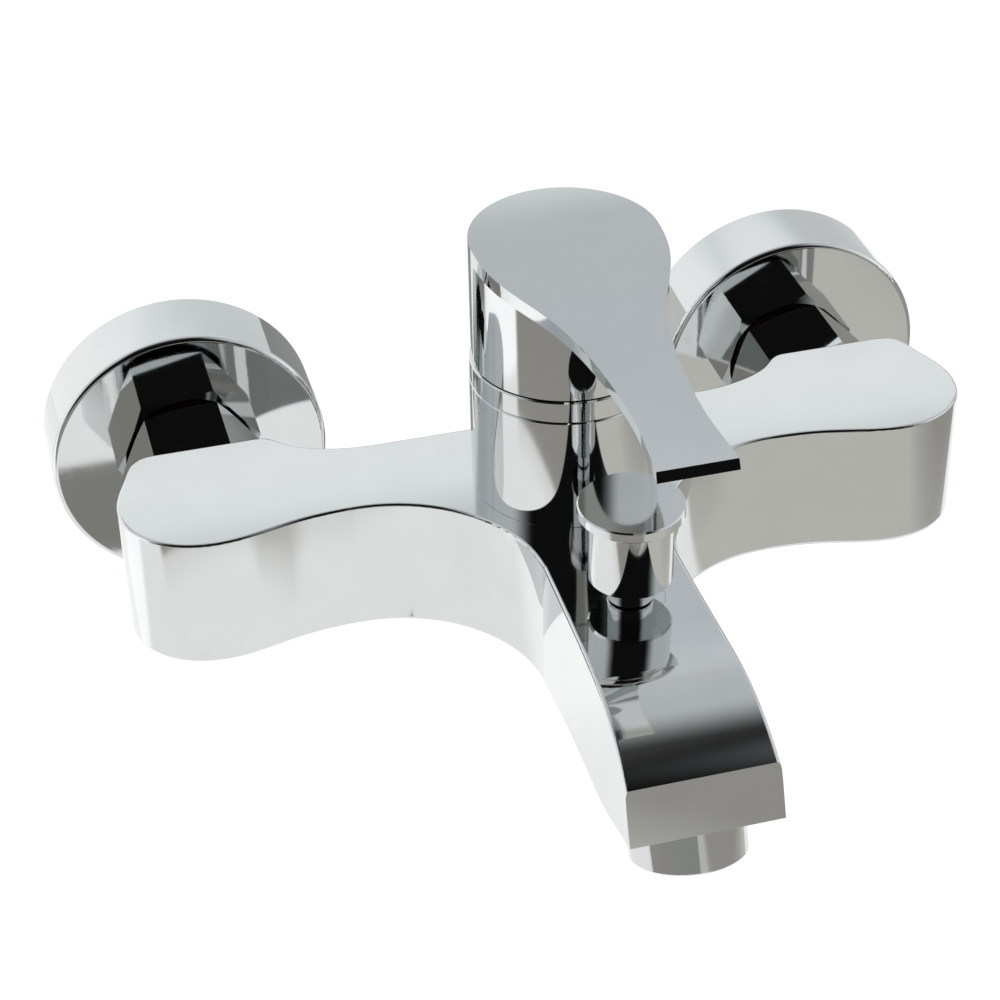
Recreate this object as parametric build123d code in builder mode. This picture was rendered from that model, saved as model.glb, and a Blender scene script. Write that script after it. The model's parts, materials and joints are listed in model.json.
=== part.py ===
from build123d import *
import os
from math import cos, radians, sin, sqrt, tan

# Wall mounted bath faucet. Millimetres, +Z up, the wall is the plane y = 0 and the faucet stands
# out of it towards -Y. The origin is on the wall, midway between the axes of the two union nuts.
# "Left" and "right" are those of a person who faces the wall.

os.makedirs("parts", exist_ok=True)

# ---------------------------------------------------------------- driving dimensions
inlet_x = 75.0            # the two inlets are 150 mm apart
wall_drop = 5.0           # the eccentric unions' wall threads lie this far below the nuts' axes
pad_back = -43.5          # flat back of each arm's pad
body_top = 19.0
body_bottom = -12.5
axis_y = -77.0            # upright axis of the cartridge, its cover and the handle
diverter_y = -123.5       # upright axis of the diverter and the shower outlet
tip_y = -174.0            # lower edge of the spout's front face
tip_z = -1.4
aerator_tilt = 18.7       # the front face and the aerator lean this far out of the upright
aerator_back = 14.7       # from that edge back to the aerator axis, along the underside

thread_half_inch = 20.955 / 2          # G 1/2 outside radius
thread_three_quarter = 26.441 / 2      # G 3/4 outside radius
thread_pitch = 1.814
fit = 0.06                # gap between pieces that are screwed or pressed together
running = 0.05            # radial gap of a shaft that moves in a hole
clear = 0.3               # gap between pieces that move past each other

arm_fillet = 0.6
spout_fillet = 0.8

boss_radius = 19.4        # threaded boss under the cover
boss_top = 40.0
cavity_radius = 17.6      # takes a 35 mm cartridge
cavity_floor = 2.0
cover_radius = 20.5
cover_top = 45.2
ring_top = 50.2
groove_radius = 18.6      # cover seal's groove in the boss
groove_low = 21.0
groove_high = 22.8

pivot_z = 37.0            # lever pivot, on the cartridge axis
lift_angle = 25.0         # full lift of the lever
ball_z = 23.0             # the ball that drives the moving disc
disc_travel = 3.0         # the moving disc rests this far behind the axis

port_x = 6.5
port_y = axis_y - 6.5     # hot and cold ports under the cartridge
port_radius = 2.6
outlet_y = axis_y + 7.0   # mixed water port
outlet_radius = 3.0

rod_radius = 3.0          # diverter rod
divert_travel = 6.8
chamber_radius = 8.2
chamber_top = 6.7         # underside of the upper valve seat
upper_radius = 7.2        # bore above the upper seat, which also takes the bush
bush_bottom = 14.0
nipple_hole = 9.5         # hole for the shower outlet nipple
nipple_top = -3.5
outlet_face = -9.4        # spot face for the shower outlet's gasket

aerator_seat = 1.5        # places along the aerator axis, from the underside of the spout
aerator_hole = 10.8
aerator_step = 8.3


# ---------------------------------------------------------------- planes and shared shapes
def level(x, y, z):
    """A horizontal plane with its origin at a point."""
    return Plane(origin=(x, y, z), z_dir=(0, 0, 1))


def facing(x, y, z):
    """An upright plane that faces the room, with local x to the right and local y up."""
    return Plane(origin=(x, y, z), x_dir=(1, 0, 0), z_dir=(0, -1, 0))


def from_wall(x, z):
    """A section plane for pieces turned about an axis square to the wall: (radius, y)."""
    return Plane(origin=(x, 0, z), x_dir=(1, 0, 0), z_dir=(0, 0, 1))


cartridge_section = facing(0, axis_y, 0)       # (radius, height) about each upright axis
diverter_section = facing(0, diverter_y, 0)
lean_y, lean_z = sin(radians(aerator_tilt)), cos(radians(aerator_tilt))
aerator_section = Plane(origin=(0, tip_y + aerator_back * lean_z, tip_z - aerator_back * lean_y),
                        x_dir=(1, 0, 0), z_dir=(0, -lean_z, lean_y))


def across(section, place):
    """A plane square to a section's axis at a place along it."""
    return Plane(origin=section.origin + section.y_dir * place, x_dir=(1, 0, 0), z_dir=section.y_dir)


def turned(section, points, mode=Mode.ADD):
    """Revolve a closed outline of (radius, place) points about the section's local y axis."""
    with BuildSketch(section) as outline:
        with BuildLine():
            Polyline(*points, close=True)
        make_face()
    revolve(outline.sketch, axis=Axis(section.origin, section.y_dir), mode=mode)


def threaded(section, radius, start, end, bore):
    """A tube with rolled thread grooves from start to end, where end is the greater place."""
    turns = int((end - start) / thread_pitch)
    points = [(bore, start), (radius, start)]
    for turn in range(turns):
        low = start + turn * thread_pitch
        points += [(radius, low + 0.3 * thread_pitch), (radius - 1.0, low + 0.65 * thread_pitch),
                   (radius, low + thread_pitch)]
    turned(section, points + [(radius - 0.6, end), (bore, end)])


def drilled(plane, radius, depth):
    """A plain hole that starts at a plane's origin and runs against its normal."""
    with BuildSketch(plane) as circle:
        Circle(radius)
    extrude(circle.sketch, amount=-depth, mode=Mode.SUBTRACT)


# ---------------------------------------------------------------- body casting
waist_y = -76.5           # front of the arms beside the spout
back_y = -53.5            # back of the body between the pads
spout_half = 14.2         # half width of the spout where it leaves the arms
lip_half = 15.8           # half width of the spout's front face
sweep_radius = 33.3       # concave sweep from the arms into the spout
sweep_x = spout_half - 0.05 + sweep_radius
sweep_y = waist_y - sweep_radius
channel_z = -5.0          # level of the channels under the cartridge
spout_channel_z = 10.8

# the spout's blank: straight sides that flare at the front, cut to its side view
with BuildPart() as spout_blank:
    with BuildSketch(Plane.XY.offset(body_bottom)):
        with BuildLine():
            Polyline((0, waist_y), (spout_half, waist_y), (spout_half, sweep_y))
            flank = TangentArc((spout_half, sweep_y), (15.6, -169), tangent=(0, -1))
            Polyline(flank @ 1, (lip_half, -171.5), (lip_half, tip_y - 1), (0, tip_y - 1))
            mirror(about=Plane.YZ)
        make_face()
    extrude(amount=body_top - body_bottom)
    with BuildSketch(Plane.YZ):
        with BuildLine():
            Line((waist_y, body_top), (-135, body_top))
            crown = TangentArc((-135, body_top), (-147, 18.7), tangent=(-1, 0))
            nose = TangentArc(crown @ 1, (-170.2, 9.8), tangent=crown % 1)
            foot = (tip_y + 17 * lean_z, tip_z - 17 * lean_y)
            Polyline(nose @ 1, (tip_y, tip_z), foot)
            Spline(foot, (-136, -9.2), (-92, body_bottom), tangents=((lean_z, -lean_y), (1, 0)))
            Polyline((-92, body_bottom), (waist_y, body_bottom), (waist_y, body_top))
        make_face()
    extrude(amount=lip_half + 5, both=True, mode=Mode.INTERSECT)
    side_edges = spout_blank.edges().filter_by(lambda e: abs(e.center().X) > 10 and e.center().Z > 8)
    fillet(side_edges.filter_by(lambda e: e.bounding_box().size.Y > 0.5), spout_fillet)

with BuildPart() as body:
    # the two arms with their rounded pads, and the sweep towards the spout
    with BuildSketch(Plane.XY.offset(body_bottom)):
        with BuildLine():
            arc = CenterArc((sweep_x, sweep_y), sweep_radius, 178, -88)
            Polyline((0, sweep_y + 2), (spout_half - 2, sweep_y + 2), arc @ 0)
            Spline(arc @ 1, (62, -78), (76, -81), (88.5, -78.2), (95.2, -70.5),
                   (96.4, -60.5), (93, -50), (86, pad_back), tangents=((1, 0), (-1, 0)))
            Line((86, pad_back), (63, pad_back))
            Spline((63, pad_back), (57, -47.3), (48, -52), (36, back_y), tangents=((-1, 0), (-1, 0)))
            Line((36, back_y), (0, back_y))
            mirror(about=Plane.YZ)
        make_face()
    extrude(amount=body_top - body_bottom)
    rims = body.edges().filter_by(Plane.XY).filter_by(lambda e: e.center().Y > sweep_y + 2.5)
    fillet(rims.group_by(Axis.Z)[-1], arm_fillet)
    rims = body.edges().filter_by(Plane.XY).filter_by(lambda e: e.center().Y > sweep_y + 2.5)
    fillet(rims.group_by(Axis.Z)[0], 1.0)
    add(spout_blank.part)

    # the boss under the cover with its seal groove
    turned(cartridge_section, [(0, body_top - 2), (boss_radius, body_top - 2), (boss_radius, groove_low),
                               (groove_radius, groove_low), (groove_radius, groove_high),
                               (boss_radius, groove_high), (boss_radius, boss_top - 0.8),
                               (boss_radius - 0.8, boss_top), (0, boss_top)])

    # cartridge cavity, its ports, and the channels from the arms
    turned(cartridge_section, [(0, cavity_floor), (cavity_radius, cavity_floor), (cavity_radius, 31),
                               (18.4, 31), (18.4, boss_top + 1), (0, boss_top + 1)], Mode.SUBTRACT)
    drilled(level(0, outlet_y, cavity_floor), outlet_radius, cavity_floor - channel_z)
    for side in (-1, 1):
        drilled(level(side * port_x, port_y, cavity_floor), port_radius, cavity_floor - channel_z)
        drilled(Plane(origin=(side * port_x, port_y, channel_z), z_dir=(0, -1, 0)), port_radius, 15)
        drilled(Plane(origin=(side * port_x, -69, channel_z), z_dir=(-side, 0, 0)), 4.0, 69.5)
        drilled(Plane(origin=(side * inlet_x, pad_back, 0), z_dir=(0, 1, 0)), thread_half_inch + fit, 12.5)
        drilled(Plane(origin=(side * inlet_x, pad_back, 0), z_dir=(0, 1, 0)), 8.0, 30.5)

    # mixed water: up a sloping channel to the diverter, then along the spout to the aerator
    drilled(Plane(origin=(0, outlet_y + 2.5, channel_z - 0.2), z_dir=(0, 48, -5.5)), outlet_radius, 49)
    turned(diverter_section, [(0, body_bottom - 1), (12.2, body_bottom - 1), (12.2, outlet_face),
                              (nipple_hole, outlet_face), (nipple_hole, nipple_top),
                              (chamber_radius, nipple_top), (chamber_radius, chamber_top),
                              (5.2, chamber_top), (5.2, chamber_top + 1), (upper_radius, chamber_top + 1),
                              (upper_radius, body_top + 1), (0, body_top + 1)], Mode.SUBTRACT)
    drilled(Plane(origin=(0, diverter_y - 5, spout_channel_z), z_dir=(0, 1, 0)), outlet_radius, 30)
    turned(aerator_section, [(0, -6), (12.3, -6), (12.3, aerator_seat), (aerator_hole, aerator_seat),
                             (aerator_hole, aerator_step), (8.5, aerator_step), (8.5, 13),
                             (5.5, 13), (5.5, 18), (0, 18)], Mode.SUBTRACT)


# ---------------------------------------------------------------- wall connections, one of each per side
rosette_radius = 32.4
rosette_depth = 18.5
rosette_wall = 1.2
union_thread = thread_three_quarter - 0.1
union_front = -33.0       # front of the eccentric union, inside the nut
nut_back = -20.0
nut_front = -40.5
nut_collar = -37.5        # inner face of the nut's collar
nut_flats = 30.0          # across the flats
gasket_thickness = 2.0

fittings = {}
for side_name, side, nut_turn in (("left", -1, 6), ("right", 1, 15)):
    nut_axis = from_wall(side * inlet_x, 0)
    wall_axis = from_wall(side * inlet_x, -wall_drop)
    middle_axis = from_wall(side * inlet_x, -wall_drop / 2)

    with BuildPart() as union:
        threaded(wall_axis, thread_half_inch, 0, 14, 7.5)
        turned(wall_axis, [(7.5, 0), (10.0, 0), (10.0, -1.5), (7.5, -1.5)])
        turned(middle_axis, [(0, -1.5), (15.0, -1.5), (15.9, -2.4), (15.9, -6.4), (15.0, -7.3), (0, -7.3)])
        turned(nut_axis, [(0, -7), (union_thread, -7), (union_thread, union_front + 1),
                          (union_thread - 1, union_front), (0, union_front)])
        turned(wall_axis, [(0, 0), (7.5, 0), (7.5, -5), (0, -5)], Mode.SUBTRACT)
        turned(nut_axis, [(0, -3.2), (9.0, -3.2), (9.0, union_front - 1), (0, union_front - 1)], Mode.SUBTRACT)
    fittings[f"{side_name}_eccentric_union"] = union

    with BuildPart() as rosette:
        with BuildSketch(nut_axis) as shell:
            with BuildLine():
                Line((rosette_radius, 0), (rosette_radius, 1.2 - rosette_depth))
                TangentArc((rosette_radius, 1.2 - rosette_depth), (rosette_radius - 1.2, -rosette_depth),
                           tangent=(0, -1))
                Polyline((rosette_radius - 1.2, -rosette_depth), (thread_three_quarter, -rosette_depth),
                         (thread_three_quarter, -11), (15.5, -11), (15.5, rosette_wall - rosette_depth),
                         (rosette_radius - rosette_wall, rosette_wall - rosette_depth),
                         (rosette_radius - rosette_wall, 0), (rosette_radius, 0))
            make_face()
        revolve(axis=Axis((side * inlet_x, 0, 0), (0, 1, 0)))
    fittings[f"{side_name}_rosette"] = rosette

    with BuildPart() as gasket:
        turned(nut_axis, [(8.2, union_front), (12.3, union_front), (12.3, union_front - gasket_thickness),
                          (8.2, union_front - gasket_thickness)])
    fittings[f"{side_name}_union_gasket"] = gasket

    with BuildPart() as nipple:
        flange_back = union_front - gasket_thickness
        turned(nut_axis, [(7.0, flange_back), (12.3, flange_back), (12.3, nut_collar + 0.1),
                          (10.2, nut_collar + 0.1), (10.2, pad_back), (thread_half_inch, pad_back),
                          (thread_half_inch, pad_back - 11), (thread_half_inch - 1, pad_back - 12),
                          (7.0, pad_back - 12)])
    fittings[f"{side_name}_inlet_nipple"] = nipple

    with BuildPart() as nut:
        with BuildSketch(facing(side * inlet_x, nut_back, 0)):
            RegularPolygon(nut_flats / 2, 6, major_radius=False, rotation=nut_turn)
        extrude(amount=nut_back - nut_front)
        turned(nut_axis, [(0, nut_back), (15.2, nut_back), (17.4, nut_back - 1.3), (17.4, nut_front + 1.3),
                          (15.2, nut_front), (0, nut_front)], Mode.INTERSECT)
        turned(nut_axis, [(0, nut_back + 1), (14.2, nut_back + 1), (thread_three_quarter, nut_back - 1),
                          (thread_three_quarter, nut_collar), (10.6, nut_collar), (10.6, nut_front - 1),
                          (0, nut_front - 1)], Mode.SUBTRACT)
    fittings[f"{side_name}_union_nut"] = nut


# ---------------------------------------------------------------- cartridge, fixed pieces
base_top = 8.0
fixed_top = 11.5
housing_inner = 15.6
ports = [(port_x, port_y, port_radius), (-port_x, port_y, port_radius), (0, outlet_y, outlet_radius)]
seal_low = cavity_floor
seal_high = 3.4

with BuildPart() as cartridge_base:
    turned(cartridge_section, [(0, cavity_floor + 0.2), (16.8, cavity_floor + 0.2), (17.3, cavity_floor + 0.7),
                               (17.3, base_top), (0, base_top)])
    for x, y, radius in ports:
        drilled(level(x, y, base_top), radius, base_top)
        drilled(level(x, y, seal_high + fit), radius + 1.3 + fit, seal_high)

with BuildPart() as base_seals:
    for x, y, radius in ports:
        with BuildSketch(level(x, y, seal_low)):
            Circle(radius + 1.3)
            Circle(radius, mode=Mode.SUBTRACT)
        extrude(amount=seal_high - seal_low)

with BuildPart() as fixed_ceramic_disc:
    with BuildSketch(level(0, axis_y, base_top)):
        Circle(14.2)
    extrude(amount=fixed_top - base_top)
    for x, y, radius in ports:
        drilled(level(x, y, fixed_top), radius, fixed_top)

with BuildPart() as cartridge_housing:
    turned(cartridge_section, [(housing_inner, base_top), (17.5, base_top), (17.5, 32.5), (13.3, 32.5),
                               (13.3, 36), (11.6, 36), (11.6, 30.3), (housing_inner, 30.3)])

with BuildPart() as cartridge_nut:
    turned(cartridge_section, [(13.8, 32.6), (18.35, 32.6), (18.35, boss_top), (13.8, boss_top)])
    with BuildSketch(level(0, axis_y, boss_top)):
        RegularPolygon(15.0, 6, major_radius=False)
        Circle(13.8, mode=Mode.SUBTRACT)
    extrude(amount=4)

with BuildPart() as cartridge_cover:
    turned(cartridge_section, [(19.6, body_top), (cover_radius - 0.15, body_top), (cover_radius, body_top + 0.15),
                               (cover_radius, cover_top - 0.25), (cover_radius - 0.25, cover_top),
                               (19.6, cover_top)])

with BuildPart() as cover_seal:
    turned(cartridge_section, [(groove_radius + 0.03, groove_low + 0.2), (19.5, groove_low + 0.2),
                               (19.5, groove_high - 0.2), (groove_radius + 0.03, groove_high - 0.2)])

dome_outer = 21.9         # the dome and the opening over the cartridge, about the lever pivot
dome_inner = 20.7
dome_foot = sqrt(dome_outer ** 2 - (ring_top - pivot_z) ** 2)
dome_mouth = 14.0
mouth_inner = 13.3
spigot_inner = 18.2


def on_dome(radius, sphere):
    """The height of a dome surface at a distance from the cartridge axis."""
    return pivot_z + sqrt(sphere ** 2 - radius ** 2)


with BuildPart() as cover_ring:
    with BuildSketch(cartridge_section) as ring_profile:
        with BuildLine():
            Polyline((dome_foot, ring_top), (20.1, ring_top), (20.4, ring_top - 0.3), (20.4, cover_top + 0.3),
                     (20.1, cover_top), (19.5, cover_top), (19.5, cover_top - 3.2),
                     (spigot_inner, cover_top - 3.2), (spigot_inner, on_dome(spigot_inner, dome_inner)))
            RadiusArc((spigot_inner, on_dome(spigot_inner, dome_inner)),
                      (mouth_inner, on_dome(mouth_inner, dome_inner)), -dome_inner)
            Line((mouth_inner, on_dome(mouth_inner, dome_inner)), (dome_mouth, on_dome(dome_mouth, dome_outer)))
            RadiusArc((dome_mouth, on_dome(dome_mouth, dome_outer)), (dome_foot, ring_top), dome_outer)
        make_face()
    revolve(axis=Axis((0, axis_y, 0), (0, 0, 1)))


# ---------------------------------------------------------------- cartridge, moving pieces
rotor_low = 19.8
slot_half = 6.0
slot_top = 28.0
neck_top = 42.0
boss_half = 5.6           # the carrier's boss round the ball
ball_radius = 3.2
stem_half = 4.0
stem_low = pivot_z - stem_half
stem_top = 70.0
pin_radius = 1.5
disc_y = axis_y + disc_travel

with BuildPart() as rotor:
    turned(cartridge_section, [(0, rotor_low), (housing_inner - clear, rotor_low), (housing_inner - clear, 30),
                               (11.3, 30), (11.3, neck_top - 0.5), (10.8, neck_top), (0, neck_top)])
    with BuildSketch(level(0, axis_y - 2.9, rotor_low)):
        RectangleRounded(2 * slot_half, 18.6, 2.0)
    extrude(amount=slot_top - rotor_low, mode=Mode.SUBTRACT)
    with BuildSketch(level(0, axis_y, slot_top - 1)):
        Rectangle(2 * (stem_half + clear), 16)
    extrude(amount=neck_top - slot_top + 2, mode=Mode.SUBTRACT)
    drilled(Plane(origin=(12, axis_y, pivot_z), z_dir=(1, 0, 0)), pin_radius + 0.01, 24)

with BuildPart() as pivot_pin:
    with BuildSketch(Plane(origin=(0, axis_y, pivot_z), z_dir=(1, 0, 0))):
        Circle(pin_radius)
    extrude(amount=10, both=True)

with BuildPart() as lever_stem:
    with BuildSketch(level(0, axis_y, stem_low)):
        RectangleRounded(2 * stem_half, 2 * stem_half, 0.6)
    extrude(amount=stem_top - stem_low)
    turned(cartridge_section, [(0, ball_z), (2.0, ball_z), (2.0, stem_low + 1), (0, stem_low + 1)])
    with Locations((0, axis_y, ball_z)):
        Sphere(ball_radius)
    drilled(Plane(origin=(stem_half + 1, axis_y, pivot_z), z_dir=(1, 0, 0)), pin_radius + running,
            2 * stem_half + 2)

with BuildPart() as moving_ceramic_disc:
    with BuildSketch(level(0, disc_y, fixed_top + running)):
        Circle(9.6)
    extrude(amount=3.45)
    drilled(level(0, disc_y + 1.5, fixed_top + 1.8), 7.5, 3)

with BuildPart() as disc_carrier:
    with BuildSketch(level(0, disc_y, 15.05)):
        Circle(10.5)
    extrude(amount=4.35)
    with BuildSketch(level(0, axis_y, 19.3)):
        Circle(boss_half)
    extrude(amount=6.7)
    drilled(level(0, axis_y, 26.0), ball_radius + clear, 6.6)


# ---------------------------------------------------------------- handle
handle_radius = 20.0
skirt_bottom = 50.5
skirt_bore = 17.9
handle_top = 78.1         # top plate at the cartridge axis
top_slope = 0.026         # fall of the top plate towards the lever tip
under_slope = 0.012       # fall of the plate's underside
plate_under = 74.9
lever_reach = 85.2        # lower edge of the tip
tip_lean = 0.8            # the tip's upper edge stands this far back
lever_tip_half = 7.9
hub_bottom = 58.5
hub_radius = 8.0
bevel_start = 3.2         # the skirt's back bevel starts this far in front of the axis
screw_z = 65.5            # grub screw and index plug height
screw_radius = 2.5
plug_radius = 3.0

with BuildPart() as lever_handle:
    # top plate: a half round at the back that runs out into the narrow lever
    with BuildSketch(level(0, axis_y, 70)):
        with BuildLine():
            CenterArc((0, 0), handle_radius, 0, 180)
            Spline((handle_radius, 0), (18.2, -14), (12.3, -29.5), (8.3, -46), (6.7, -68),
                   (lever_tip_half, -lever_reach), tangents=((0, -1), (0.08, -1)))
            Spline((-handle_radius, 0), (-18.2, -14), (-12.3, -29.5), (-8.3, -46), (-6.7, -68),
                   (-lever_tip_half, -lever_reach), tangents=((0, -1), (-0.08, -1)))
            Polyline((lever_tip_half, -lever_reach), (lever_tip_half, -lever_reach - 1),
                     (-lever_tip_half, -lever_reach - 1), (-lever_tip_half, -lever_reach))
        make_face()
    extrude(amount=12)
    upper_edge = lever_reach - tip_lean
    with BuildSketch(Plane.YZ):
        with BuildLine():
            Polyline((axis_y + 25, handle_top + 25 * top_slope),
                     (axis_y - upper_edge, handle_top - upper_edge * top_slope),
                     (axis_y - lever_reach, plate_under - lever_reach * under_slope),
                     (axis_y + 25, plate_under + 25 * under_slope), close=True)
        make_face()
    extrude(amount=30, both=True, mode=Mode.INTERSECT)
    # skirt, with its back cut away so that the handle can tilt
    with BuildSketch(level(0, axis_y, skirt_bottom)):
        Circle(handle_radius)
    extrude(amount=plate_under + 1 - skirt_bottom)
    turned(cartridge_section, [(0, skirt_bottom - 1), (skirt_bore, skirt_bottom - 1), (skirt_bore, 72),
                               (hub_radius, 72), (hub_radius, hub_bottom), (0, hub_bottom)], Mode.SUBTRACT)
    with BuildSketch(level(0, axis_y, hub_bottom)):
        Rectangle(2 * stem_half + 0.1, 2 * stem_half + 0.1)
    extrude(amount=stem_top - hub_bottom + fit, mode=Mode.SUBTRACT)
    with BuildSketch(Plane.YZ):
        with BuildLine():
            Polyline((axis_y - bevel_start, skirt_bottom), (axis_y + 30, skirt_bottom),
                     (axis_y + 30, skirt_bottom + (30 + bevel_start) * tan(radians(lift_angle))), close=True)
        make_face()
    extrude(amount=30, both=True, mode=Mode.SUBTRACT)
    # hole for the grub screw and the index plug
    drilled(Plane(origin=(0, axis_y + hub_radius + 1, screw_z), z_dir=(0, 1, 0)), screw_radius + fit, 6)
    drilled(Plane(origin=(0, axis_y + handle_radius + 1, screw_z), z_dir=(0, 1, 0)), plug_radius, 5)

with BuildPart() as grub_screw:
    with BuildSketch(facing(0, axis_y + hub_radius - 0.1, screw_z)):
        Circle(screw_radius)
    extrude(amount=hub_radius - 0.1 - stem_half)
    with BuildSketch(facing(0, axis_y + hub_radius - 0.1, screw_z)):
        RegularPolygon(1.25, 6, major_radius=False)
    extrude(amount=2, mode=Mode.SUBTRACT)

with BuildPart() as index_plug:
    with BuildSketch(facing(0, axis_y + handle_radius - 0.2, screw_z)):
        Circle(plug_radius - 0.03)
    extrude(amount=2.6)
    chamfer(index_plug.edges().filter_by(GeomType.CIRCLE).sort_by(Axis.Y)[-1], 0.4)


# ---------------------------------------------------------------- diverter
valve_low = nipple_top + 0.05
washer = 1.0
valve_top = valve_low + 2 * washer + 1.3
spring_wire = 0.5

with BuildPart() as diverter_bush:
    turned(diverter_section, [(rod_radius + running, bush_bottom), (upper_radius - fit, bush_bottom),
                              (upper_radius - fit, body_top), (rod_radius + running, body_top)])
    turned(diverter_section, [(rod_radius, 15.5), (rod_radius + 1.2, 15.5), (rod_radius + 1.2, 17.3),
                              (rod_radius, 17.3)], Mode.SUBTRACT)

with BuildPart() as diverter_seal:
    turned(diverter_section, [(rod_radius + 0.04, 15.6), (rod_radius + 1.15, 15.6), (rod_radius + 1.15, 17.2),
                              (rod_radius + 0.04, 17.2)])

with BuildPart() as diverter_rod:
    turned(diverter_section, [(0, valve_low - 1.1), (3.9, valve_low - 1.1), (3.9, valve_low),
                              (rod_radius, valve_low), (rod_radius, 33.5), (rod_radius - 0.5, 34), (0, 34)])

with BuildPart() as diverter_valve:
    turned(diverter_section, [(rod_radius + 0.01, valve_low + washer), (6.6, valve_low + washer),
                              (6.6, valve_top - washer), (rod_radius + 0.01, valve_top - washer)])

with BuildPart() as valve_washers:
    for low in (valve_low, valve_top - washer):
        with BuildSketch(level(0, diverter_y, low)):
            Circle(6.3)
            Circle(rod_radius + 0.01, mode=Mode.SUBTRACT)
        extrude(amount=washer)


def coil(x, y, low, high, radius, wire, turns):
    """A compression spring on an upright axis, wound between two heights."""
    with BuildLine():
        path = Helix((high - low - 2 * wire) / turns, high - low - 2 * wire, radius,
                     center=(x, y, low + wire))
    with BuildSketch(Plane(origin=path @ 0, z_dir=path % 0)) as section:
        Circle(wire)
    sweep(section.sketch, path=path, is_frenet=True)


with BuildPart() as diverter_spring:
    coil(0, diverter_y, valve_top + 0.05, bush_bottom - 0.05, 4.2, spring_wire, 5)

with BuildPart() as diverter_knob:
    turned(diverter_section, [(0, 19.4), (4.5, 19.4), (4.8, 19.7), (4.8, 24.5), (8.3, 24.5), (8.7, 24.9),
                              (8.7, 39.7), (8.4, 40.0), (10.6, 40.0), (10.9, 40.3), (10.9, 42.1),
                              (10.6, 42.4), (0, 42.4)])
    drilled(Plane(origin=(0, diverter_y, 19.4), z_dir=(0, 0, -1)), rod_radius + 0.01, 14.7)


# ---------------------------------------------------------------- shower outlet with its check valve
outlet_end = -18.6
outlet_collar = -11.3
gasket_low = outlet_face - 0.8
nipple_bore = 7.5
valve_seat = -7.3         # underside of the check valve's seat
guide_low = -16.1

with BuildPart() as shower_outlet:
    turned(diverter_section, [(4.5, nipple_top), (nipple_hole - running, nipple_top),
                              (nipple_hole - running, gasket_low), (11.2, gasket_low), (11.2, outlet_collar),
                              (nipple_bore, outlet_collar), (nipple_bore, -5.6), (4.5, -5.6)])
    threaded(diverter_section, thread_half_inch, outlet_end, outlet_collar + 0.1, nipple_bore)

with BuildPart() as outlet_gasket:
    turned(diverter_section, [(nipple_hole + 0.1, gasket_low), (11.6, gasket_low), (11.6, outlet_face),
                              (nipple_hole + 0.1, outlet_face)])

with BuildPart() as check_valve_housing:
    turned(diverter_section, [(3.5, -5.9), (7.4, -5.9), (7.4, -18.2), (6, -18.2), (6, guide_low),
                              (1.5 + running, guide_low), (1.5 + running, guide_low + 1.5),
                              (6, guide_low + 1.5), (6, valve_seat), (3.5, valve_seat)])
    with BuildSketch(level(0, diverter_y, guide_low)):
        with PolarLocations(3.9, 4):
            Circle(1.5)
    extrude(amount=1.5, mode=Mode.SUBTRACT)

with BuildPart() as check_valve_poppet:
    turned(diverter_section, [(0, valve_seat - running), (4.5, valve_seat - running), (4.5, valve_seat - 1.3),
                              (3.6, valve_seat - 2.1), (1.5, valve_seat - 2.1), (1.5, guide_low + 0.1),
                              (0, guide_low + 0.1)])

with BuildPart() as check_valve_spring:
    coil(0, diverter_y, guide_low + 1.55, valve_seat - 2.15, 2.6, 0.3, 3)


# ---------------------------------------------------------------- aerator
aerator_low = -9.8
aerator_top = 7.2
housing_radius = 12.0
insert_radius = 9.2
insert_low = aerator_low + 1.6

with BuildPart() as aerator_housing:
    turned(aerator_section, [(insert_radius + fit, aerator_low), (housing_radius - 0.4, aerator_low),
                             (housing_radius, aerator_low + 0.4), (housing_radius, aerator_seat),
                             (aerator_hole - 0.1, aerator_seat), (aerator_hole - 0.1, aerator_top),
                             (insert_radius + fit, aerator_top)])

with BuildPart() as aerator_insert:
    turned(aerator_section, [(0, insert_low), (insert_radius, insert_low), (insert_radius, aerator_top),
                             (0, aerator_top)])
    turned(aerator_section, [(0, -3.8), (7.8, -3.8), (7.8, 8), (0, 8)], Mode.SUBTRACT)
    with BuildSketch(across(aerator_section, insert_low)):
        for ring, holes in ((2.2, 6), (4.4, 12), (6.5, 18)):
            with PolarLocations(ring, holes):
                Circle(0.8)
        Circle(0.8)
    extrude(amount=6, mode=Mode.SUBTRACT)

with BuildPart() as aerator_gasket:
    turned(aerator_section, [(8.5, aerator_top + 0.05), (10.6, aerator_top + 0.05), (10.6, aerator_step),
                             (8.5, aerator_step)])


# ---------------------------------------------------------------- one STEP file for each node
pieces = {
    "body": body, **fittings,
    "cartridge_base": cartridge_base, "base_seals": base_seals, "fixed_ceramic_disc": fixed_ceramic_disc,
    "cartridge_housing": cartridge_housing, "cartridge_nut": cartridge_nut,
    "cartridge_cover": cartridge_cover, "cover_seal": cover_seal, "cover_ring": cover_ring,
    "rotor": rotor, "pivot_pin": pivot_pin, "lever_stem": lever_stem,
    "moving_ceramic_disc": moving_ceramic_disc, "disc_carrier": disc_carrier,
    "lever_handle": lever_handle, "grub_screw": grub_screw, "index_plug": index_plug,
    "diverter_bush": diverter_bush, "diverter_seal": diverter_seal, "diverter_rod": diverter_rod,
    "diverter_valve": diverter_valve, "valve_washers": valve_washers, "diverter_spring": diverter_spring,
    "diverter_knob": diverter_knob, "shower_outlet": shower_outlet, "outlet_gasket": outlet_gasket,
    "check_valve_housing": check_valve_housing, "check_valve_poppet": check_valve_poppet,
    "check_valve_spring": check_valve_spring, "aerator_housing": aerator_housing,
    "aerator_insert": aerator_insert, "aerator_gasket": aerator_gasket,
}
for name, piece in pieces.items():
    piece.part.label = name
    export_step(piece.part, f"parts/{name}.step")
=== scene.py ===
import json
import math

import bpy
from mathutils import Matrix, Vector

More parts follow.
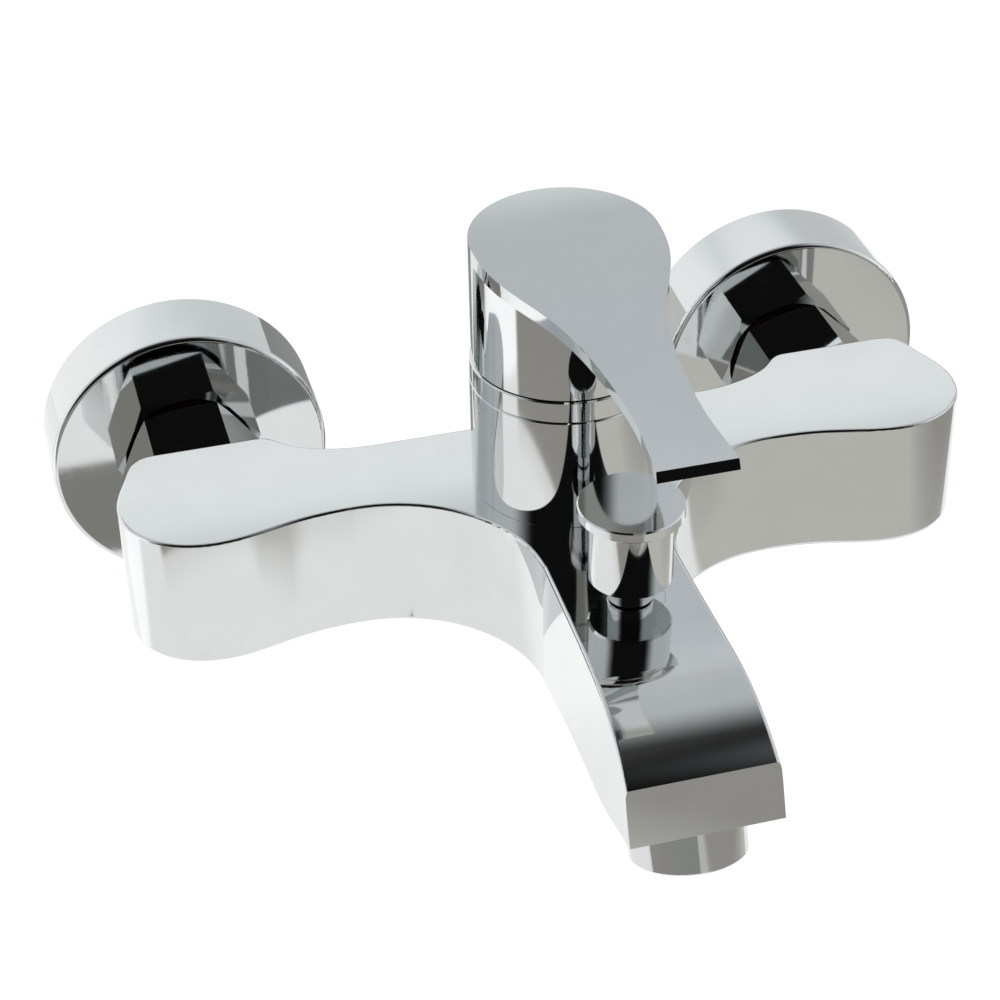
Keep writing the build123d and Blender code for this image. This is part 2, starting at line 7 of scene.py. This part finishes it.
# A chrome wall mounted bath faucet above pale paper, in a light tent.
# Metres, +Z up. The wall is the plane y = 0, and the faucet stands out from it towards -Y.

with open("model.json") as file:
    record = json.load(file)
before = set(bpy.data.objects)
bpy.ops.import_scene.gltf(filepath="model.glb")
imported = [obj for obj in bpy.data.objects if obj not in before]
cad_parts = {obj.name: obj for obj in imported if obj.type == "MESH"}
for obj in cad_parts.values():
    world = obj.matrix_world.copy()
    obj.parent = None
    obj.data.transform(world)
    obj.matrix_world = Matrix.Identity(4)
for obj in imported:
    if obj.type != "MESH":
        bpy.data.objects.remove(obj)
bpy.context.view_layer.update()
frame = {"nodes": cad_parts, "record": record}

MM = 0.001


# ---------------------------------------------------------------- node helpers
def add_node(tree, kind, values=None, **settings):
    """Adds a shader node, sets its attributes, and fills or links its inputs."""
    made = tree.nodes.new(kind)
    for key, value in settings.items():
        setattr(made, key, value)
    for key, value in (values or {}).items():
        if isinstance(value, bpy.types.NodeSocket):
            tree.links.new(value, made.inputs[key])
        else:
            made.inputs[key].default_value = value
    return made


def math_node(tree, operation, *values, clamp=False):
    """One Math node on numbers or sockets."""
    made = add_node(tree, "ShaderNodeMath", dict(enumerate(values)), operation=operation, use_clamp=clamp)
    return made.outputs[0]


def vector_value(tree, operation, first, second):
    """A number worked out from two vectors."""
    made = add_node(tree, "ShaderNodeVectorMath", {0: first, 1: second}, operation=operation)
    return made.outputs["Value"]


def split(tree, vector):
    """The X, Y and Z sockets of a vector."""
    return add_node(tree, "ShaderNodeSeparateXYZ", {0: vector}).outputs


def grey(tone):
    """A neutral colour."""
    return (tone, tone, tone, 1)


def ramp(tree, factor, stops):
    """A colour ramp from (position, grey or colour) stops."""
    made = add_node(tree, "ShaderNodeValToRGB", {"Fac": factor})
    elements = made.color_ramp.elements
    while len(elements) < len(stops):
        elements.new(0.5)
    for element, (position, value) in zip(elements, stops):
        element.position = position
        element.color = (*value, 1) if isinstance(value, tuple) else grey(value)
    return made.outputs["Color"]


def smooth_step(tree, value, start, end):
    """0 up to start, 1 from end on, and smooth between; start may be above end."""
    made = add_node(tree, "ShaderNodeMapRange", {"Value": value, "From Min": start, "From Max": end},
                    interpolation_type="SMOOTHSTEP")
    return made.outputs[0]


def within(tree, value, low, high, soft):
    """1 between low and high, fading to 0 over the soft width outside."""
    return math_node(tree, "MULTIPLY", smooth_step(tree, value, low - soft, low),
                     smooth_step(tree, value, high + soft, high))


def blend(tree, factor, first, second):
    """A mix of two colours by a factor."""
    return add_node(tree, "ShaderNodeMixRGB", {"Fac": factor, "Color1": first, "Color2": second}).outputs[0]


def new_material(name):
    """A node material with a Principled shader; returns material, tree and shader."""
    material = bpy.data.materials.new(name)
    material.use_nodes = True
    tree = material.node_tree
    return material, tree, tree.nodes["Principled BSDF"]


# ---------------------------------------------------------------- surface detail
def noise(tree, scale, detail, stretch=(1, 1, 1)):
    """Noise over the object's own coordinates; scale is in features per metre."""
    place = add_node(tree, "ShaderNodeTexCoord").outputs["Object"]
    mapped = add_node(tree, "ShaderNodeMapping", {"Vector": place, "Scale": stretch}).outputs[0]
    made = add_node(tree, "ShaderNodeTexNoise", {"Vector": mapped, "Scale": scale, "Detail": detail})
    return made.outputs["Fac"]


def two_tone(tree, shader, factor, colour, darkest, lightest):
    """Varies a surface's colour between a darker and a lighter tone of it."""
    dark_at, light_at = 0.3, 0.7
    dark = tuple(darkest * value for value in colour)
    light = tuple(min(1.0, lightest * value) for value in colour)
    tree.links.new(ramp(tree, factor, [(dark_at, dark), (light_at, light)]), shader.inputs["Base Color"])


def vary_roughness(tree, shader, factor, smoothest, roughest, factor_range=(0.0, 1.0)):
    """Lets a surface's roughness follow a factor."""
    level = add_node(tree, "ShaderNodeMapRange", {"Value": factor, "From Min": factor_range[0],
                                                  "From Max": factor_range[1], "To Min": smoothest,
                                                  "To Max": roughest})
    tree.links.new(level.outputs[0], shader.inputs["Roughness"])


def bump(tree, shader, height, strength, distance):
    """Feeds a height to the shader's normal."""
    made = add_node(tree, "ShaderNodeBump", {"Height": height, "Strength": strength, "Distance": distance})
    tree.links.new(made.outputs[0], shader.inputs["Normal"])


# ---------------------------------------------------------------- materials
def chrome(name, tint, roughness, haze_spread, waviness):
    """Polished chrome plate: faint haze that varies over the surface, and a slight polishing wave."""
    material, tree, shader = new_material(name)
    shader.inputs["Metallic"].default_value = 1.0
    haze = noise(tree, scale=90.0, detail=3.0)
    fine_haze = noise(tree, scale=900.0, detail=4.0)
    wave = noise(tree, scale=45.0, detail=1.0)
    both_hazes = math_node(tree, "MULTIPLY", haze, fine_haze)
    vary_roughness(tree, shader, both_hazes, smoothest=roughness, roughest=roughness + haze_spread,
                   factor_range=(0.1, 0.5))
    two_tone(tree, shader, haze, tint, darkest=0.965, lightest=1.0)
    bump(tree, shader, wave, strength=waviness, distance=0.2 * MM)
    return material


def turned_metal(name, colour, roughness):
    """Machined metal: fine turning marks and slight colour variation."""
    material, tree, shader = new_material(name)
    shader.inputs["Metallic"].default_value = 1.0
    marks = noise(tree, scale=2500.0, detail=2.0, stretch=(1, 0.15, 1))
    stain = noise(tree, scale=120.0, detail=3.0)
    two_tone(tree, shader, stain, colour, darkest=0.85, lightest=1.08)
    vary_roughness(tree, shader, marks, smoothest=roughness - 0.06, roughest=roughness + 0.08)
    bump(tree, shader, marks, strength=0.15, distance=0.05 * MM)
    return material


def moulded(name, colour, roughness, grain):
    """Moulded plastic, rubber or ceramic: a fine grain and slight tone variation."""
    material, tree, shader = new_material(name)
    fine = noise(tree, scale=3000.0, detail=2.0)
    stain = noise(tree, scale=200.0, detail=3.0)
    two_tone(tree, shader, stain, colour, darkest=0.9, lightest=1.06)
    vary_roughness(tree, shader, fine, smoothest=roughness - 0.05, roughest=roughness + 0.07)
    bump(tree, shader, fine, strength=grain, distance=0.05 * MM)
    return material


CHROME_TINT = (0.685, 0.70, 0.70)
finishes = {
    "chrome": chrome("chrome_plate", CHROME_TINT, roughness=0.035, haze_spread=0.03, waviness=0.02),
    "brass": turned_metal("turned_brass", (0.72, 0.55, 0.28), roughness=0.28),
    "steel": turned_metal("turned_steel", (0.60, 0.60, 0.62), roughness=0.26),
    "rubber": moulded("black_rubber", (0.03, 0.03, 0.03), roughness=0.6, grain=0.3),
    "ceramic": moulded("lapped_ceramic", (0.85, 0.85, 0.82), roughness=0.2, grain=0.05),
    "cartridge_plastic": moulded("white_cartridge_plastic", (0.78, 0.78, 0.75), roughness=0.4, grain=0.15),
    "insert_plastic": moulded("grey_insert_plastic", (0.42, 0.44, 0.47), roughness=0.35, grain=0.15),
}
for part in frame["record"]["subparts"]:
    for slot in frame["nodes"][part["node"]].material_slots:
        slot.material = finishes[part["material_slot"]]


# ---------------------------------------------------------------- camera
def make_camera():
    """Looks down at the faucet from its front left, as a product photographer would."""
    azimuth, elevation, roll = math.radians(-14.27), math.radians(34.9), math.radians(-1.4)
    distance, aim_right, aim_up = 0.6078, 0.0052, -0.0325
    sensor_mm, focal_mm = 36.0, 88.16
    back = Vector((math.sin(azimuth) * math.cos(elevation), -math.cos(azimuth) * math.cos(elevation),
                   math.sin(elevation)))
    level_right = Vector((math.cos(azimuth), math.sin(azimuth), 0))
    level_up = back.cross(level_right)
    right = level_right * math.cos(roll) + level_up * math.sin(roll)
    up = level_up * math.cos(roll) - level_right * math.sin(roll)
    lens = bpy.data.cameras.new("camera")
    lens.sensor_width = sensor_mm
    lens.lens = focal_mm
    camera = bpy.data.objects.new("camera", lens)
    place = Matrix.Translation(right * aim_right + up * aim_up + back * distance)
    camera.matrix_world = place @ Matrix((right, up, back)).transposed().to_4x4()
    bpy.context.collection.objects.link(camera)
    bpy.context.scene.camera = camera


# ---------------------------------------------------------------- light tent
def make_tent():
    """Pale cloth all round, open and dark on the side where the photographer stands."""
    world = bpy.data.worlds.new("tent")
    world.use_nodes = True
    bpy.context.scene.world = world
    tree = world.node_tree
    tree.nodes.clear()
    way = add_node(tree, "ShaderNodeTexCoord").outputs["Generated"]
    rise = split(tree, way)["Z"]

    # The height is 0 straight down, 0.5 at the horizon and 1 straight up.
    height = math_node(tree, "MULTIPLY_ADD", rise, 0.5, 0.5)
    cloth = ramp(tree, height, [(0.0, 1.0), (0.48, 1.15), (0.60, 1.1), (0.75, (0.80, 0.83, 0.85)),
                                (0.90, (0.64, 0.66, 0.68)), (1.0, (0.58, 0.61, 0.62))])
    front = ramp(tree, height, [(0.0, 0.6), (0.38, (0.34, 0.35, 0.32)), (0.47, (0.32, 0.33, 0.31)),
                                (0.495, 0.08), (0.52, 0.006), (0.92, 0.008), (0.96, 0.02), (1.0, 0.08)])

    # The opening is a slot that faces the photographer. Overhead it reaches past the top.
    photographer, least_level = (-0.27, -0.963, 0.0), 0.02
    slot_edge, overhead_edge, overhead_rise = (0.30, 0.75), (-0.28, 0.09), (0.80, 0.94)
    toward = vector_value(tree, "DOT_PRODUCT", way, photographer)
    rise_squared = math_node(tree, "POWER", rise, 2.0)
    level = math_node(tree, "SQRT", math_node(tree, "SUBTRACT", 1.0, rise_squared, clamp=True))
    facing = math_node(tree, "DIVIDE", toward, math_node(tree, "MAXIMUM", level, least_level))
    opening = blend(tree, smooth_step(tree, rise, *overhead_rise), smooth_step(tree, facing, *slot_edge),
                    smooth_step(tree, toward, *overhead_edge))

    tone = blend(tree, opening, cloth, front)
    light = add_node(tree, "ShaderNodeBackground", {"Color": tone, "Strength": 1.0})
    output = add_node(tree, "ShaderNodeOutputWorld")
    tree.links.new(light.outputs[0], output.inputs["Surface"])


# ---------------------------------------------------------------- paper, painted light and shade sheets, and softbox
SHEET_GLOW = 1.04
LEVEL_REACH = 4.0
PAPER_DEPTH = -0.12
# The sheet of painted light and shade lies 1 mm above the paper.
PAINTED_SHEET_DEPTH = PAPER_DEPTH + 1 * MM
STAND_FOOT = PAPER_DEPTH + 2 * MM


def glowing_sheet(name, corners):
    """A stage sheet with its own light; returns the sheet, its node tree, its place and its shader."""
    mesh = bpy.data.meshes.new(name)
    mesh.from_pydata(corners, [], [(0, 1, 2, 3)])
    sheet = bpy.data.objects.new(name, mesh)
    bpy.context.collection.objects.link(sheet)
    material, tree, shader = new_material(name)
    shader.inputs["Base Color"].default_value = grey(0.0)
    shader.inputs["Roughness"].default_value = 1.0
    shader.inputs["Specular IOR Level"].default_value = 0.0
    shader.inputs["Emission Strength"].default_value = SHEET_GLOW
    mesh.materials.append(material)
    return sheet, tree, add_node(tree, "ShaderNodeTexCoord").outputs["Object"], shader


def level_sheet(name, depth):
    """A glowing sheet that lies level and reaches far past the faucet."""
    far = LEVEL_REACH
    return glowing_sheet(name, [(-far, -far, depth), (far, -far, depth), (far, far, depth),
                                (-far, far, depth)])


def standing_sheet(name, left, right, back, top):
    """A glowing sheet that stands just above the sheet of painted light and shade, parallel to the wall."""
    return glowing_sheet(name, [(left, back, STAND_FOOT), (right, back, STAND_FOOT), (right, back, top),
                                (left, back, top)])


def make_paper():
    """A plain pale sweep of paper."""
    shader = level_sheet("pale_paper", PAPER_DEPTH)[3]
    shader.inputs["Emission Color"].default_value = grey(1.0)


def make_painted_light_and_shade():
    """Painted light and shade on a sheet laid just above the paper round the faucet, seen only in
    reflections: plain white paper with painted pools of brighter light and grey painted shade.
    """
    painted_light_and_shade, tree, place, shader = level_sheet("painted_light_and_shade", PAINTED_SHEET_DEPTH)
    across, along, _ = split(tree, place)

    def soft_rectangle(x_range, y_range, soft):
        """1 on a soft-edged rectangle of the sheet."""
        return math_node(tree, "MULTIPLY", within(tree, across, *x_range, soft),
                         within(tree, along, *y_range, soft))

    def corner(y_edge, x_edge):
        """1 past two soft edges."""
        return math_node(tree, "MULTIPLY", smooth_step(tree, along, *y_edge),
                         smooth_step(tree, across, *x_edge))

    # In front: a white disc with a grey strip of painted shade on it and painted shade round it, and
    # painted shade at the right.
    disc_middle = (-0.07, -0.08, PAINTED_SHEET_DEPTH)
    disc = ramp(tree, vector_value(tree, "DISTANCE", place, disc_middle),
                [(0.182, 1.0), (0.192, 0.93), (0.203, (0.86, 0.85, 0.83)), (0.208, (0.34, 0.33, 0.31)),
                 (0.40, (0.32, 0.31, 0.29)), (0.8, (0.30, 0.31, 0.28))])
    right = ramp(tree, across, [(0.19, (0.61, 0.60, 0.56)), (0.235, (0.47, 0.46, 0.43)),
                                (0.29, (0.36, 0.35, 0.33))])
    right_edge = (0.02, 0.05)
    front = blend(tree, smooth_step(tree, across, *right_edge), disc, right)
    # Painted shade: a grey strip where the paper lies in the faucet's shade.
    painted_strip_shade = (0.26, 0.26, 0.24, 1)
    painted_strip_shade_mask = soft_rectangle(x_range=(-0.102, -0.080), y_range=(-0.202, -0.155), soft=3 * MM)
    front = blend(tree, painted_strip_shade_mask, front, painted_strip_shade)

    # White paper lies behind a line across the paper, with the painted shade in front of it. The line comes
    # forward on both sides of its middle, and runs back steeply at the far right.
    line_middle, left_slope, right_slope = 0.02, -0.12, 0.4
    far_slope, far_start = -1.5, 0.21
    line_edge = (-0.135, -0.108)
    aside = math_node(tree, "SUBTRACT", across, line_middle)
    forward = math_node(tree, "MAXIMUM", math_node(tree, "MULTIPLY", aside, left_slope),
                        math_node(tree, "MULTIPLY", aside, right_slope))
    forward = math_node(tree, "MINIMUM", forward,
                        math_node(tree, "MULTIPLY_ADD", aside, far_slope, far_start))
    behind = smooth_step(tree, math_node(tree, "ADD", along, forward), *line_edge)

    # Painted light makes the white brighter behind the left arm and brightest at the far left, and it is
    # plain again further back. Grey painted shade lies on it at the back right, where the paper is shaded
    # behind the faucet.
    # Painted light: brighter tones of the lit paper.
    plain, painted_bright_light, painted_brightest_light = grey(1.0), grey(1.12), grey(1.3)
    white = blend(tree, corner(y_edge=(-0.02, 0.02), x_edge=(0.03, -0.02)), plain, painted_bright_light)
    left_edge, plain_edge = (-0.285, -0.30), (0.05, 0.15)
    far_left = math_node(tree, "MAXIMUM", corner(y_edge=(-0.045, -0.01), x_edge=(-0.185, -0.21)),
                         smooth_step(tree, across, *left_edge))
    white = blend(tree, far_left, white, painted_brightest_light)
    white = blend(tree, smooth_step(tree, along, *plain_edge), white, plain)
    # Painted shade: the paper in shade behind the faucet.
    painted_back_shade = (0.27, 0.28, 0.27, 1)
    back_shade_mask = soft_rectangle(x_range=(0.045, 0.155), y_range=(-0.03, 0.29), soft=20 * MM)
    white = blend(tree, back_shade_mask, white, painted_back_shade)

    tree.links.new(blend(tree, behind, front, white), shader.inputs["Emission Color"])
    painted_light_and_shade.visible_camera = False


def make_softbox():
    """A soft light panel behind the wall's plane, with a bright band at mid height.

    It is seen only in reflections.
    """
    half_width, back, top = 1.3, 0.35, 0.75
    panel, tree, place, shader = standing_sheet("softbox", -half_width, half_width, back, top)
    across, _, height = split(tree, place)

    # Low down it is white at the left and grey at the right. A ramp starts at 0, so its places
    # are measured from half a metre to the left of the middle.
    ramp_start = 0.5
    low_tone = ramp(tree, math_node(tree, "ADD", across, ramp_start),
                    [(0.20, 1.10), (0.35, (1.04, 1.06, 1.06)), (0.48, (0.80, 0.83, 0.84)),
                     (0.62, (0.74, 0.77, 0.78)), (0.88, (0.64, 0.66, 0.67))])
    high_tone = ramp(tree, height, [(0.240, (0.86, 0.89, 0.90)), (0.290, (1.0, 1.02, 1.03)),
                                    (0.315, (0.97, 1.0, 1.01)), (0.343, (0.61, 0.64, 0.65)),
                                    (0.42, (0.60, 0.63, 0.66)), (0.55, (0.70, 0.73, 0.75)),
                                    (0.75, (0.64, 0.66, 0.68))])
    band_foot = (0.21, 0.27)
    tone = blend(tree, smooth_step(tree, height, *band_foot), low_tone, high_tone)
    tree.links.new(tone, shader.inputs["Emission Color"])
    panel.visible_camera = False


def make_painted_shade_flag():
    """A small grey sheet of painted shade standing behind the middle of the faucet, where the paper is
    shaded, seen only in reflections.

    Its upper right part is paler, with less shade painted.
    """
    left, right, back, top = -0.045, 0.06, 0.04, 0.022
    painted_shade_flag, tree, place, shader = standing_sheet("painted_shade_flag", left, right, back, top)
    across, _, height = split(tree, place)
    pale_left_edge, pale_foot = (-0.015, 0.005), (-0.045, -0.03)
    pale = math_node(tree, "MULTIPLY", smooth_step(tree, across, *pale_left_edge),
                     smooth_step(tree, height, *pale_foot))
    # Painted shade, paler where less shade is painted.
    painted_shade_grey, pale_grey = (0.29, 0.30, 0.29, 1), (0.65, 0.65, 0.63, 1)
    tree.links.new(blend(tree, pale, painted_shade_grey, pale_grey), shader.inputs["Emission Color"])
    painted_shade_flag.visible_camera = False


make_camera()
make_tent()
make_paper()
make_painted_light_and_shade()
make_softbox()
make_painted_shade_flag()
bpy.context.scene.view_settings.view_transform = "Standard"
